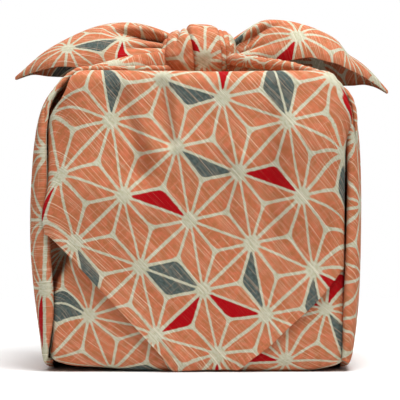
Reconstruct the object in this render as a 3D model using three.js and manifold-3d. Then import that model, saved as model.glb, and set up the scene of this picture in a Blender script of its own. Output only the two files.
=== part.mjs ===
// Furoshiki wrap: one square hemmed cloth folded round a square bundle and tied on top.
// Millimetres, +Z up. The origin is the middle of the base; the front flap faces -Y.
import * as THREE from 'three';
import { mergeVertices } from 'three/addons/utils/BufferGeometryUtils.js';
import Module from 'manifold-3d';

const wasm = await Module();
wasm.setup();

// ---- sizes -----------------------------------------------------------------

const CLOTH = 2;          // thickness of one free layer of cloth
const FLAP_LAYER = 1.8;   // how far the front flap stands off the layer under it
const AROUND = 40;        // facets round the bundle, a multiple of four
const ARC = 3;            // facets in each rounded corner of the bundle

// The bundle inside the outer folds, level by level from the base to the top.
const BUNDLE = [
  { height: 0, halfWidth: 86, halfDepth: 87, corner: 16 },
  { height: 1.6, halfWidth: 93, halfDepth: 93, corner: 14 },
  { height: 6, halfWidth: 97, halfDepth: 96.5, corner: 12 },
  { height: 16, halfWidth: 99, halfDepth: 98, corner: 9 },
  { height: 60, halfWidth: 99.5, halfDepth: 98.5, corner: 8 },
  { height: 112, halfWidth: 99.5, halfDepth: 99, corner: 8 },
  { height: 158, halfWidth: 99, halfDepth: 98.5, corner: 9 },
  { height: 180, halfWidth: 96, halfDepth: 98, corner: 14 },
  { height: 190, halfWidth: 90, halfDepth: 96.5, corner: 22 },
  { height: 196, halfWidth: 84, halfDepth: 93.5, corner: 28 },
  { height: 198.5, halfWidth: 77, halfDepth: 87, corner: 34 },
];

// The front flap: each hem runs at about 45 degrees up from the foot of the front.
const HEM_LEFT = { foot: -13, slope: -0.923 };
const HEM_RIGHT = { foot: 33, slope: 0.94 };
const SQUARE_CORNER = 8;     // radius of the bundle's upright corners
const FLAP_ROUND = 0.35;     // how much the flap is drawn in where that radius grows
const FLAP_CLIMB = 0.72;     // share of the flap's length that is on the front
const FLAP_BACK = 74;        // how far back over the top it can still be told apart

// Side cloth from the foot of each side, over the shoulder and along the top to the knot.
// reach: distance sideways; lean: direction it faces, 0 sideways and 90 up;
// crown: how far its middle stands out beyond its two folded edges.
const LEFT_SIDE = [
  { reach: 98, height: 0, half: 80, lean: 0, crown: 12, pleat: 0.2 },
  { reach: 105.5, height: 10, half: 92, lean: 0, crown: 8.5, pleat: 0.7 },
  { reach: 111, height: 42, half: 97.5, lean: 0, crown: 11.5, pleat: 1.2 },
  { reach: 114.4, height: 84, half: 99.5, lean: 0, crown: 14.5, pleat: 1.6 },
  { reach: 114, height: 126, half: 99.5, lean: 0, crown: 14, pleat: 2 },
  { reach: 110, height: 163, half: 98.5, lean: 8, crown: 11, pleat: 2.6 },
  { reach: 101, height: 184, half: 95.5, lean: 30, crown: 7, pleat: 3.2 },
  { reach: 89.5, height: 198, half: 87, lean: 55, crown: 6, pleat: 3.8 },
  { reach: 73, height: 207.5, half: 70, lean: 70, crown: 7, pleat: 4.4 },
  { reach: 48, height: 215, half: 42, lean: 76, crown: 9, pleat: 4 },
  { reach: 20, height: 221, half: 18, lean: 80, crown: 11, pleat: 2.6 },
];
const RIGHT_SIDE = [
  { reach: 101, height: 0, half: 80, lean: 0, crown: 15, pleat: 0.2 },
  { reach: 108.5, height: 10, half: 92, lean: 0, crown: 11.5, pleat: 0.8 },
  { reach: 111.5, height: 42, half: 97.5, lean: 0, crown: 12, pleat: 1.3 },
  { reach: 113.2, height: 84, half: 99.5, lean: 0, crown: 13, pleat: 1.7 },
  { reach: 113.4, height: 126, half: 99.5, lean: 0, crown: 13, pleat: 2.1 },
  { reach: 111.8, height: 163, half: 98.5, lean: 8, crown: 12, pleat: 2.6 },
  { reach: 107.5, height: 184, half: 95.5, lean: 30, crown: 10.5, pleat: 3.2 },
  { reach: 96, height: 198, half: 87, lean: 55, crown: 8.5, pleat: 3.8 },
  { reach: 75, height: 207, half: 70, lean: 70, crown: 7, pleat: 4.2 },
  { reach: 50, height: 213, half: 42, lean: 78, crown: 8, pleat: 3.8 },
  { reach: 24, height: 217, half: 18, lean: 82, crown: 9, pleat: 2.6 },
];
const PLEATS = [-0.76, -0.47, -0.15, 0.2, 0.5, 0.79];   // places across the side cloth
const PLEAT_WIDTH = 0.085;
const SIDE_DEPTH = 24;                                  // down to inside the bundle

// Ears: the two free corners of the cloth, each an arched sheet gathered at the knot.
// reach: distance from the middle; ridge: height of its crest; half: half its span;
// front, back: how far each hem hangs below the crest; gather: depth of the folds.
const LEFT_EAR = [
  { reach: 14, ridge: 229, half: 12, front: 13, back: 13, gather: 1.5 },
  { reach: 28, ridge: 236, half: 19, front: 18, back: 17, gather: 3.2 },
  { reach: 44, ridge: 240.5, half: 28, front: 25, back: 24, gather: 3.2 },
  { reach: 60, ridge: 240.5, half: 35, front: 30, back: 30, gather: 2.6 },
  { reach: 76, ridge: 236.5, half: 38, front: 28, back: 30, gather: 1.8 },
  { reach: 92, ridge: 229, half: 36, front: 20, back: 23, gather: 1 },
  { reach: 106, ridge: 221, half: 29, front: 13.5, back: 15, gather: 0.5 },
  { reach: 118, ridge: 210.5, half: 17, front: 7, back: 6, gather: 0.2 },
  { reach: 129, ridge: 200.5, half: 2.5, front: 1.5, back: 1.5, gather: 0 },
];
const RIGHT_EAR = [
  { reach: 16, ridge: 228, half: 12, front: 12, back: 12, gather: 1.5 },
  { reach: 31, ridge: 233, half: 19, front: 14, back: 16, gather: 3.2 },
  { reach: 47, ridge: 240.5, half: 28, front: 23, back: 25, gather: 3.2 },
  { reach: 62, ridge: 242.3, half: 36, front: 30, back: 34, gather: 2.6 },
  { reach: 78, ridge: 239, half: 40, front: 25, back: 35, gather: 1.8 },
  { reach: 95, ridge: 231, half: 39, front: 21, back: 30, gather: 1 },
  { reach: 109, ridge: 218.5, half: 32, front: 15, back: 21, gather: 0.5 },
  { reach: 122, ridge: 206, half: 19, front: 9, back: 10, gather: 0.2 },
  { reach: 136, ridge: 192, half: 2.5, front: 1.5, back: 1.5, gather: 0 },
];
const EAR_FOLDS = [-0.62, -0.2, 0.16, 0.55];   // places of the folds across an ear
const EAR_FOLD_WIDTH = 0.13;
const EAR_TURN = 92;                           // degrees each side turns down at its hem

// Square knot: pleated rolls side by side, from left to right along its middle line.
const KNOT_MIDDLE = 216;
const KNOT = [
  { across: -24, high: 6, deep: 7 },
  { across: -22, high: 15, deep: 15 },
  { across: -18, high: 19, deep: 20 },
  { across: -14.5, high: 19, deep: 20.5 },
  { across: -12, high: 15.5, deep: 17 },
  { across: -9, high: 19.5, deep: 21 },
  { across: -4, high: 22, deep: 24 },
  { across: 4, high: 22.8, deep: 25 },
  { across: 11, high: 22, deep: 24 },
  { across: 15.5, high: 19.5, deep: 21.5 },
  { across: 17.5, high: 16, deep: 18 },
  { across: 19.5, high: 18.5, deep: 20 },
  { across: 21.8, high: 15.5, deep: 17 },
  { across: 24, high: 17.5, deep: 18 },
  { across: 26, high: 15, deep: 15 },
  { across: 28, high: 6, deep: 7 },
];
const KNOT_FOLDS = 7;        // shallow creases that fan round the rolls
const KNOT_CREASE = 0.7;

// ---- helpers ---------------------------------------------------------------

// Row of a table at a share of the way down it, with every column smoothly in between.
function along(rows, share) {
  const place = share * (rows.length - 1);
  const first = Math.min(Math.floor(place), rows.length - 2);
  const part = place - first;
  const near = [-1, 0, 1, 2].map(
    (step) => rows[THREE.MathUtils.clamp(first + step, 0, rows.length - 1)],
  );
  const row = {};
  for (const column of Object.keys(rows[0])) {
    const [a, b, c, d] = near.map((each) => each[column]);
    const bend = 2 * a - 5 * b + 4 * c - d + part * (3 * (b - c) + d - a);
    row[column] = b + 0.5 * part * (c - a + part * bend);
  }
  return row;
}

// Solid from a closed three.js shape once each of its corners has been moved.
function solidFrom(shape, place) {
  shape.deleteAttribute('normal');
  shape.deleteAttribute('uv');
  const whole = mergeVertices(shape, 1e-5);
  const corners = whole.getAttribute('position');
  const moved = new Float32Array(corners.count * 3);
  for (let i = 0; i < corners.count; i += 1) {
    const spot = place(corners.getX(i), corners.getY(i), corners.getZ(i));
    moved.set(spot, i * 3);
  }
  const faces = new Uint32Array(whole.index.array);
  if (enclosed(moved, faces) < 0) {
    faces.reverse();
  }
  return new wasm.Manifold(new wasm.Mesh({ numProp: 3, vertProperties: moved, triVerts: faces }));
}

// Six times the volume inside a closed surface, negative where it is inside out.
function enclosed(spots, faces) {
  const [a, b, c] = [new THREE.Vector3(), new THREE.Vector3(), new THREE.Vector3()];
  let total = 0;
  for (let i = 0; i < faces.length; i += 3) {
    a.fromArray(spots, faces[i] * 3);
    b.fromArray(spots, faces[i + 1] * 3);
    c.fromArray(spots, faces[i + 2] * 3);
    total += a.dot(b.cross(c));
  }
  return total;
}

// Sheet: u runs across from -1 to 1, v along from 0 to 1, t through it from 0 to 1.
function sheet(across, lengthwise, place) {
  const block = new THREE.BoxGeometry(2, 1, 1, across, lengthwise, 1);
  return solidFrom(block, (x, y, z) => place(x, y + 0.5, z + 0.5));
}

// Depth of a set of creases at one place across a sheet.
function creases(places, width, at) {
  return places.reduce((sum, each) => sum + Math.exp(-(((at - each) / width) ** 2)), 0);
}

// ---- pieces ----------------------------------------------------------------

// Point number step round a rounded rectangle, starting at the right-hand front corner.
function roundedOutline(step, { halfWidth, halfDepth, corner }) {
  const perSide = AROUND / 4;
  const side = Math.floor(step / perSide) % 4;
  const count = step % perSide;
  const arcPoint = (which, turn) => {
    const signX = which === 0 || which === 1 ? 1 : -1;
    const signY = which === 1 || which === 2 ? 1 : -1;
    const angle = ((which - 1 + turn) * Math.PI) / 2;
    return [
      signX * (halfWidth - corner) + corner * Math.cos(angle),
      signY * (halfDepth - corner) + corner * Math.sin(angle),
    ];
  };
  if (count <= ARC) {
    return arcPoint(side, count / ARC);
  }
  const from = arcPoint(side, 1);
  const to = arcPoint((side + 1) % 4, 0);
  const part = (count - ARC) / (perSide - ARC);
  return [from[0] + (to[0] - from[0]) * part, from[1] + (to[1] - from[1]) * part];
}

function bundle() {
  const drum = new THREE.CylinderGeometry(1, 1, 1, AROUND, 14);
  drum.rotateX(Math.PI / 2);
  return solidFrom(drum, (x, y, z) => {
    const row = along(BUNDLE, z + 0.5);
    const turn = (Math.atan2(y, x) / (2 * Math.PI)) * AROUND + AROUND;
    const outline = roundedOutline(Math.round(turn) % AROUND, row);
    const out = Math.hypot(x, y);
    return [outline[0] * out, outline[1] * out, row.height];
  });
}

// Middle line of the flap: up the front of the bundle, then back over the top.
function flapLine(share) {
  if (share <= FLAP_CLIMB) {
    const row = along(BUNDLE, share / FLAP_CLIMB);
    return { ...row, y: -row.halfDepth, z: row.height };
  }
  const top = BUNDLE[BUNDLE.length - 1];
  const part = (share - FLAP_CLIMB) / (1 - FLAP_CLIMB);
  const y = -top.halfDepth + (top.halfDepth + FLAP_BACK) * part;
  return { ...top, y, z: top.height };
}

function frontFlap() {
  return sheet(8, 26, (u, v, t) => {
    const line = flapLine(v);
    const before = flapLine(Math.max(v - 0.01, 0));
    const after = flapLine(Math.min(v + 0.01, 1));
    const slope = new THREE.Vector2(after.y - before.y, after.z - before.z).normalize();
    const edge = line.halfWidth - 1 - FLAP_ROUND * (line.corner - SQUARE_CORNER);
    const left = Math.max(-edge, HEM_LEFT.foot + HEM_LEFT.slope * line.z);
    const right = Math.min(edge, HEM_RIGHT.foot + HEM_RIGHT.slope * line.z);
    const settle = THREE.MathUtils.smoothstep(v, FLAP_CLIMB + 0.08, 1);
    const lift = THREE.MathUtils.lerp(-4, FLAP_LAYER * (1 - 1.8 * settle), t);
    const outward = v === 0 ? [-1, 0] : [-slope.y, slope.x];
    return [
      THREE.MathUtils.lerp(left, right, (u + 1) / 2),
      line.y + outward[0] * lift,
      Math.max(line.z + outward[1] * lift, 0),
    ];
  });
}

function sideCloth(rows, hand) {
  return sheet(32, 20, (u, v, t) => {
    const row = along(rows, v);
    const lean = THREE.MathUtils.degToRad(row.lean);
    const puff = row.crown * Math.abs(u) ** 5;
    const pleats = row.pleat * creases(PLEATS, PLEAT_WIDTH, u);
    const sunk = puff + pleats + (1 - t) * SIDE_DEPTH;
    return [
      hand * (row.reach - Math.cos(lean) * sunk),
      row.half * u * (t ? 1 : 0.9),
      row.height - Math.sin(lean) * sunk,
    ];
  });
}

function ear(rows, hand) {
  return sheet(17, 15, (u, v, t) => {
    const row = along(rows, v);
    const turn = THREE.MathUtils.degToRad(EAR_TURN * u);
    const drop = u < 0 ? row.front : row.back;
    const fold = row.gather * creases(EAR_FOLDS, EAR_FOLD_WIDTH, u);
    const inward = fold + CLOTH * (1 - t);
    return [
      hand * row.reach,
      row.half * Math.sin(turn) - inward * Math.sin(turn),
      row.ridge - drop * (1 - Math.cos(turn)) - inward * Math.cos(turn),
    ];
  });
}

function knot() {
  const roll = new THREE.CylinderGeometry(1, 1, 1, 26, 26);
  roll.rotateZ(-Math.PI / 2);
  return solidFrom(roll, (x, y, z) => {
    const row = along(KNOT, x + 0.5);
    const crease = KNOT_CREASE * Math.cos(KNOT_FOLDS * Math.atan2(z, y));
    return [row.across, (row.deep + crease) * y, KNOT_MIDDLE + (row.high + crease) * z];
  });
}

// ---- one cloth -------------------------------------------------------------

const pieces = [
  frontFlap(),
  sideCloth(LEFT_SIDE, -1),
  sideCloth(RIGHT_SIDE, 1),
  ear(LEFT_EAR, -1),
  ear(RIGHT_EAR, 1),
  knot(),
];
const joined = pieces.reduce((whole, piece) => whole.add(piece), bundle());
const mesh = joined.getMesh();
const geometry = new THREE.BufferGeometry();
geometry.setAttribute('position', new THREE.BufferAttribute(mesh.vertProperties, 3));
geometry.setIndex(new THREE.BufferAttribute(mesh.triVerts, 1));
geometry.computeVertexNormals();

const cloth = new THREE.Mesh(
  geometry,
  new THREE.MeshStandardMaterial({ color: 0xc47658, roughness: 0.9, metalness: 0 }),
);
cloth.name = 'furoshiki_cloth';

const group = new THREE.Group();
group.name = 'furoshiki_wrap';
group.add(cloth);

export default group;
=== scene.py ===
"""Furoshiki wrap: one printed slub-cotton cloth, folded round a square bundle and tied on top.

Laid out as a Blender add-on and run as a script. Tables are in millimetres; meshes are in metres,
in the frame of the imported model: +Z up, the front flap facing -Y, the base at the origin.
"""

import math
from collections import namedtuple
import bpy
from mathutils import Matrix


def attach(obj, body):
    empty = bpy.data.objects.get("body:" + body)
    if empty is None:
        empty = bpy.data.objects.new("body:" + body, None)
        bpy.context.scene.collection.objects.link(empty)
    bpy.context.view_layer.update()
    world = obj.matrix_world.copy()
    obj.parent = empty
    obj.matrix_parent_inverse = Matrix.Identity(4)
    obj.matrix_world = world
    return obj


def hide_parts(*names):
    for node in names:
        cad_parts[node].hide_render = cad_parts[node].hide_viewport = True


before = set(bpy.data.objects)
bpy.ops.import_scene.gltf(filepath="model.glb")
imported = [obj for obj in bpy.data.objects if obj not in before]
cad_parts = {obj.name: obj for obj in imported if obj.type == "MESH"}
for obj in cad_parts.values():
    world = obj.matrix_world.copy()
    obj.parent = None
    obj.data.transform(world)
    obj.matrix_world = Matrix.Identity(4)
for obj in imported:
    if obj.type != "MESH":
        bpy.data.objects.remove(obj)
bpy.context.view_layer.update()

from types import SimpleNamespace

import bpy
import numpy as np
from mathutils import Vector

bl_info = {
    "name": "Furoshiki wrap",
    "version": (1, 0, 0),
    "blender": (4, 5, 0),
    "location": "3D View > Sidebar > Furoshiki",
    "description": "Builds a tied furoshiki wrap in printed slub cotton over its packed model",
    "category": "Add Mesh",
}

NODE = "furoshiki_cloth"
MM = 0.001

# ---- tables ----------------------------------------------------------------------------------


class Table:
    """Rows of named columns, read smoothly at any share of the way down them."""

    def __init__(self, columns, *rows):
        self.columns = columns.split()
        self.rows = np.array(rows, dtype=float)

    def at(self, share):
        """Every column, by name, at a share of the way down the rows."""
        place = np.clip(np.asarray(share, dtype=float), 0, 1) * (len(self.rows) - 1)
        first = np.minimum(place.astype(int), len(self.rows) - 2)
        part = (place - first)[..., None]
        last = len(self.rows) - 1
        a, b, c, d = (self.rows[np.clip(first + step, 0, last)] for step in (-1, 0, 1, 2))
        bend = 2 * a - 5 * b + 4 * c - d + part * (3 * (b - c) + d - a)
        value = b + 0.5 * part * (c - a + part * bend)
        return SimpleNamespace(**{name: value[..., i] for i, name in enumerate(self.columns)})


# How the printed star lattice lies on a piece of the cloth: the place of one star, the ways to two
# more, and which star of the flat cloth it is, counted from STAR along STAR_A and STAR_B.
Lay = namedtuple("Lay", "star way_a way_b turn")

# Bundle under the outer folds.
HALF_WIDTH = 99.0
HALF_DEPTH = 97.2
TOP = 198.5
EDGE = 9.0                      # radius of its level edges at front and back
UPRIGHT = 8.0                   # radius of its upright edges
SHOULDER = (24.0, 16.0)         # how far its top is rounded down at the left and at the right
BELLY = 0.8                     # how far its front and back swell
TILT = 4.0                      # how far their upper half leans in
SIDE_SWELL = 1.0                # how far its side faces swell
SIDE_RINGS = (0.85, 0.7, 0.7)   # how much smaller each ring of a side face is than the last

# The loop of cloth round the bundle, from the foot of the front: up, over the top, down the back
# and under the base. Side is -1 at the front, level is 0 at the base, angle turns the level edges.
BEND = math.pi / 2 * EDGE
UP = TOP - 2 * EDGE
OVER = 2 * (HALF_DEPTH - EDGE)
LOOP_LENGTH = np.cumsum([0, BEND, UP, BEND, OVER, BEND, UP, BEND, OVER])
LOOP_SIDE = (-1, -1, -1, -1, 1, 1, 1, 1, -1)
LOOP_LEVEL = (0, 0, 1, 1, 1, 1, 0, 0, 0)
LOOP_ANGLE = (-90, -180, -180, -270, -270, -360, -360, -450, -450)
TOP_OF_FRONT = BEND + UP + BEND
FOOT = BEND - EDGE              # how much longer the way round the foot is than its height

# How far the base of the bundle rises from the surface below it, from left to right.
BASE_LIFT = ((-99, 9.5), (-96, 8), (-93, 6.3), (-86, 4.3), (-79.5, 3.3), (-60, 2.4), (-50, 1.2),
             (-38, 0.2), (-25, 0), (70, 0), (78, 0.7), (86, 2), (93, 3.8), (96, 5.2), (99, 7.2))

# Hems of the front flap, as the place of each at the base and how it runs up and outwards.
HEM_LEFT = (-13.0, -0.923)
HEM_RIGHT = (33.0, 0.94)
HEM_GAPS = (1.7, 0.5)           # how far the left and the right hem stand off the cloth below
HEM_RISE = 0.45                 # how far a doubled hem stands up from single cloth
HEM_STITCH = 0.35               # how deep its line of stitches sinks
# The right hem turns in below this height, and bows out around another: height, reach, how far.
RIGHT_HEM_FOOT = (19, 9.0)
RIGHT_HEM_BOW = (47, 14, 3.5)

# Side edges of the front flap, as how far across they lie at a distance up the front and over.
FLAP_LEFT_EDGE = ((0, -98), (180, -98.3), (183.2, -96.5), (184.3, -92.5), (185.3, -89.7),
                  (190, -86.3), (197, -82.2), (205, -78), (250, -84), (350, -92), (400, -98),
                  (600, -98))
FLAP_RIGHT_EDGE = ((0, 98.6), (186, 98.6), (194, 97), (200, 93), (207, 88), (213, 84), (250, 84),
                   (350, 92), (400, 98), (600, 98))
# Places where those edges puff out: hand, height, half height, how far.
FLAP_PUFFS = ((-1, 108, 17, 3.8), (1, 181, 14, 4.6))
PUFF_START = 62                 # from here outwards, over PUFF_REACH
PUFF_REACH = 36

# Soft creases of the front flap, from (x0, z0) to (x1, z1): how wide on their left and on their
# right, and how deep, with ridges below 0.
FLAP_CREASES = (
    # x0   z0   x1   z1  left right depth
    (-46, 180, -37, 134, 8, 7, 5.6),
    (-37, 134, -28, 92, 10, 14, 2.4),
    (-52, 198, -30, 148, 6, 6, -2.6),
    (-24.5, 190, -18.5, 154, 4.5, 5, 4.6),
    (-13, 197, -10, 150, 5, 8, -2.2),
    (66, 203, 65, 112, 12, 34, -6.5),
    (47, 166, 49, 88, 9, 8, 3.4),
    (18.5, 142, 17, 106, 7, 5, 2.4),
    (30, 140, 31, 106, 6, 6, -2.2),
    (-78, 192, -68, 84, 16, 22, -4),
    (6, 176, 14, 88, 26, 26, 1.8),
    (-90, 176, -95, 132, 6, 6, 2),
    (88, 100, 76, 74, 9, 9, 2.2),
    (-45, 86, -22, 62, 9, 9, -1.2),
    (40, 60, 60, 40, 9, 9, 1.4),
    (-19, 22, -8, 4, 4, 4, -1.6),
    (60, 160, 95, 152, 20, 20, -6),
    (-75, 122, -42, 112, 18, 18, -4.5),
    (-36, 144, 36, 142, 18, 18, -2.8),
)

# Hollow between the left side cloth and the bundle, from its foot up.
HOLLOW_HEIGHT = (6, 16, 50, 62, 80, 98, 106)
HOLLOW_ACROSS = (-99.5, -99.5, -98.5, -96, -91, -90, -90)
HOLLOW_WIDTH = (4.0, 4.0, 4.0, 4.5, 8.0, 9.0, 9.0)
HOLLOW_DEPTH = (0, 9, 9, 12, 22, 22, 0)
# Hollow behind the cut corner of the flap: across, height, half width, half height, depth.
CORNER_HOLLOW = (-90, 187, 11, 15, 34.0)
# Groove beside the right side cloth: across, half width, depth, and the heights it fades between.
RIGHT_GROOVE = (97, 3.0, 1.0, 60, 90)

# Side cloth, up the side, over the shoulder and along the top to the knot.
SIDE_COLUMNS = "reach height half lean crown pleat gather"
LEFT_SIDE = Table(
    SIDE_COLUMNS,
    (97, 0.6, 86, 0, 1.5, 0.1, 1.0),
    (103.2, 10, 95, 0, 3.6, 0.5, 1.0),
    (109, 42, 98, 0, 12.8, 1.1, 1.0),
    (112.6, 84, 98.4, 0, 14.4, 1.5, 1.0),
    (112.2, 126, 98, 0, 12.2, 1.9, 1.02),
    (108.6, 161, 97, 8, 8.0, 2.5, 1.08),
    (100.6, 182, 90, 30, 3.4, 2.6, 1.15),
    (88, 196, 82, 50, 2.4, 3.0, 1.3),
    (73, 205.4, 69, 66, 3.4, 3.8, 1.7),
    (48, 215.2, 42, 76, 10, 4.2, 2.6),
    (18, 223, 12, 80, 13, 3.2, 5.0),
)
RIGHT_SIDE = Table(
    SIDE_COLUMNS,
    (98, 0.6, 86, 0, 2, 0.1, 1.0),
    (104.6, 10, 95, 0, 6.3, 0.6, 1.0),
    (109.4, 42, 97.5, 0, 10.2, 1.2, 1.0),
    (111.6, 84, 97.5, 0, 11.2, 1.6, 1.0),
    (112, 126, 96.5, 0, 10.7, 2.0, 1.02),
    (110, 161, 94.5, 8, 9.0, 2.6, 1.08),
    (105, 182, 89, 30, 4.5, 3.2, 1.15),
    (93, 195.5, 79, 55, 4.0, 3.7, 1.3),
    (74.5, 203.5, 66, 70, 6.5, 4.2, 1.7),
    (50, 209, 42, 78, 7.5, 4.0, 2.6),
    (20, 213.5, 12, 82, 9, 3.2, 5.0),
)
# Level section of the side cloth from its front fold to its middle, and the same again to its back
# fold: out is the share of the crown that it has reached, back the share of its half width.
SECTION_HALF = (
    (0.02, -0.915), (-0.02, -0.945), (-0.01, -0.975), (0.08, -0.995), (0.24, -0.998), (0.44, -0.98),
    (0.64, -0.93), (0.81, -0.84), (0.92, -0.70), (0.98, -0.48), (1.01, -0.24),
)
SIDE_SECTION = Table(
    "out back", *SECTION_HALF, (1.02, 0.0), *((out, -back) for out, back in reversed(SECTION_HALF)))
FOOT_RISE = 8.0                 # how far the corners of its foot lie off the surface
# Pleats of the side cloth: where each lies, how wide and how deep it is beside the others.
LEFT_PLEATS = ((-0.82, 0.05, 0.5), (-0.66, 0.06, 1.0), (-0.5, 0.045, 0.7), (-0.31, 0.07, 1.1),
               (-0.12, 0.05, 0.8), (0.1, 0.07, 1.1), (0.3, 0.05, 0.7), (0.47, 0.06, 1.0),
               (0.66, 0.05, 0.8), (0.8, 0.05, 0.6))
RIGHT_PLEATS = ((-0.8, 0.05, 0.6), (-0.63, 0.06, 0.9), (-0.44, 0.05, 0.8), (-0.26, 0.07, 1.1),
                (-0.05, 0.05, 0.7), (0.15, 0.07, 1.0), (0.36, 0.05, 0.8), (0.52, 0.06, 1.0),
                (0.68, 0.05, 0.7), (0.83, 0.05, 0.6))

# Ears: free corners of the cloth, arched, gathered at the knot and pointed at the far end. Pull is
# how much wider the cloth is there than the gathered ear.
EAR_COLUMNS = "reach ridge half front back pull"
LEFT_EAR = Table(
    EAR_COLUMNS,
    (12, 228, 11, 12, 13, 2.6),
    (28, 234.8, 19, 18, 17, 2.0),
    (44, 238.4, 28, 26, 24, 1.45),
    (60, 238.0, 35, 30.5, 30, 1.1),
    (76, 234.0, 38, 28, 30, 1.0),
    (92, 226.8, 36, 20.0, 23, 1.0),
    (106, 218.6, 29, 13.5, 15, 1.0),
    (117, 209.8, 17, 7, 6, 1.0),
    (127.5, 200.6, 2.2, 1.4, 1.4, 1.0),
)
RIGHT_EAR = Table(
    EAR_COLUMNS,
    (14, 223, 11, 12, 12, 2.6),
    (24, 226.5, 13, 16, 14, 2.4),
    (33, 232.4, 16, 20, 16, 2.05),
    (47, 240.4, 24, 28, 25, 1.5),
    (62, 240.6, 36, 29, 34, 1.1),
    (78, 236.6, 40, 23, 35, 1.0),
    (90, 231.6, 40, 21.0, 32, 1.0),
    (98, 226.8, 37, 18.5, 28, 1.0),
    (102.5, 221.8, 34.5, 15.5, 24, 1.0),
    (106.5, 217.0, 32, 12.5, 20, 1.0),
    (113, 212.6, 26, 11.0, 16, 1.0),
    (120.4, 206.8, 18.5, 8.5, 10, 1.0),
    (128, 199.2, 9, 4.8, 5, 1.0),
    (135, 190.8, 2.2, 1.4, 1.4, 1.0),
)
# Folds of the ears, running out from the knot: reach and place across where each begins and ends,
# how wide on its front and on its back side, and how deep, with rolls below 0.
LEFT_EAR_FOLDS = (
    (8, -0.45, 66, -0.38, 0.22, 0.06, 20.0),
    (8, -0.80, 60, -0.76, 0.06, 0.06, 8.0),
    (8, -0.66, 52, -0.62, 0.07, 0.07, -2.4),
    (8, -0.16, 74, -0.22, 0.05, 0.08, 4.0),
    (8, 0.16, 66, 0.14, 0.08, 0.08, 5.0),
    (8, 0.48, 74, 0.40, 0.10, 0.08, 7.0),
    (8, 0.78, 60, 0.70, 0.06, 0.06, 5.0),
)
RIGHT_EAR_FOLDS = (
    (8, -0.36, 66, -0.30, 0.38, 0.08, 20.0),
    (8, -0.76, 56, -0.72, 0.06, 0.06, 8.0),
    (14, -0.86, 70, -0.86, 0.10, 0.10, -3.0),
    (8, -0.13, 60, -0.10, 0.06, 0.06, 3.0),
    (8, 0.20, 70, 0.14, 0.09, 0.08, 5.0),
    (8, 0.52, 76, 0.44, 0.10, 0.08, 7.0),
    (8, 0.80, 60, 0.74, 0.06, 0.06, 5.0),
)
EAR_TURN = 92                   # degrees that each side of an ear turns down by at its edge
EAR_HEM_RISE = 0.4              # how far its doubled hem stands up

# Knot: from its left side to its right, half its height and half its depth.
KNOT_MIDDLE = 216
KNOT = Table(
    "across high deep",
    (-24.2, 5, 6), (-23.6, 8.5, 11), (-22.2, 11.5, 15), (-19.8, 14.2, 18.4), (-16.6, 16.4, 20.4),
    (-12.0, 17.8, 22.0), (-7.3, 19.2, 23.2), (-3.1, 20.2, 23.8), (1.2, 20.6, 24.2),
    (6.1, 20.2, 24), (11.1, 19.2, 23.2), (15.0, 17.6, 22), (18.6, 16.2, 20.4),
    (21.6, 15.2, 18.8), (24.6, 13.0, 16), (26.4, 9.6, 11.8), (27.3, 5, 6),
)
# Creases of the knot: how far across each lies at the foot, front, top and back, how wide it is,
# how deep, how much higher the cloth on its right is, and where up the front it begins.
KNOT_CREASES = (
    (1.0, -1.4, -7.0, -8.0, 1.3, 3.0, 1.2, -1.0),
    (-15.6, -15.2, -11.2, -13.0, 1.2, 4.6, 0.3, 0.31),
    (18.0, 17.4, 15.0, 13.0, 0.8, 3.2, -0.8, -1.0),
    (22.6, 20.8, 18.2, 18.0, 0.6, 2.2, 0.3, 0.1),
    (24.8, 23.6, 21.8, 21.0, 0.5, 1.6, -0.3, 0.2),
    (-22.4, -21.4, -19.4, -20.0, 0.9, 1.2, 0.3, -1.0),
)

# Rolled edges of the side cloth, from the knot down to the sides: across, depth, height, radius.
ROLL_COLUMNS = "across depth height radius"
LEFT_ROLL = Table(
    ROLL_COLUMNS,
    (-17, -12, 206.6, 2.4),
    (-26, -25, 205.8, 2.3),
    (-39, -38, 205.0, 2.1),
    (-52, -50, 204.2, 2.0),
    (-65, -62, 203.6, 1.9),
    (-74, -71, 202.8, 1.9),
    (-79, -77, 201.6, 1.9),
    (-82.6, -80, 199.6, 1.9),
    (-86.9, -84, 195.9, 1.9),
    (-90.5, -87, 191.9, 1.9),
    (-93.4, -89, 187.8, 1.9),
    (-95.8, -91, 183.8, 1.9),
    (-97.6, -92.5, 179.8, 1.8),
    (-98.8, -94, 175.0, 1.6),
    (-99.6, -95, 168.0, 1.3),
    (-100.4, -95.5, 158.0, 0.7),
)
RIGHT_ROLL = Table(
    ROLL_COLUMNS,
    (18, -8, 212.8, 3.6),
    (25.5, -21, 212.4, 4.2),
    (32, -29, 211.2, 4.4),
    (45.4, -42, 208.3, 4.2),
    (60.8, -55, 206.0, 3.5),
    (70.6, -65, 203.8, 2.5),
    (78.4, -72, 201.4, 2.1),
    (84.8, -77, 199.0, 1.8),
    (91.2, -82, 195.0, 1.7),
    (96.9, -86.5, 189.7, 1.6),
    (101.4, -89.5, 184.6, 1.6),
    (104.3, -91.5, 178.6, 1.5),
    (105.9, -93, 170.6, 1.3),
    (106.6, -94, 158.8, 0.7),
)

ROLL_GATHER = 1.5               # length of cloth in each length of a rolled edge
ROLL_TAKES = 1.8                # and how much more of it goes round than shows

# Star lattice of the printed hemp-leaf ground, on the flat cloth: one star and the way to two more.
STAR = (-14.05, 149.3)
STAR_A = (41.54, -16.27)
STAR_B = (-32.16, -31.24)
STAR_SPACING = 45.5
STAR_HALF = 3.6                 # half width of the square middle of a star
ROW_LINE = 1.1                  # half width of the lines along STAR_B,
CROSS_LINE = 0.78               # of those along the other two ways,
SPOKE_LINE = 0.95               # and of the spokes inside the triangles
GRAIN = (0.743, 0.669)          # way across the slub threads on the flat cloth

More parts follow.
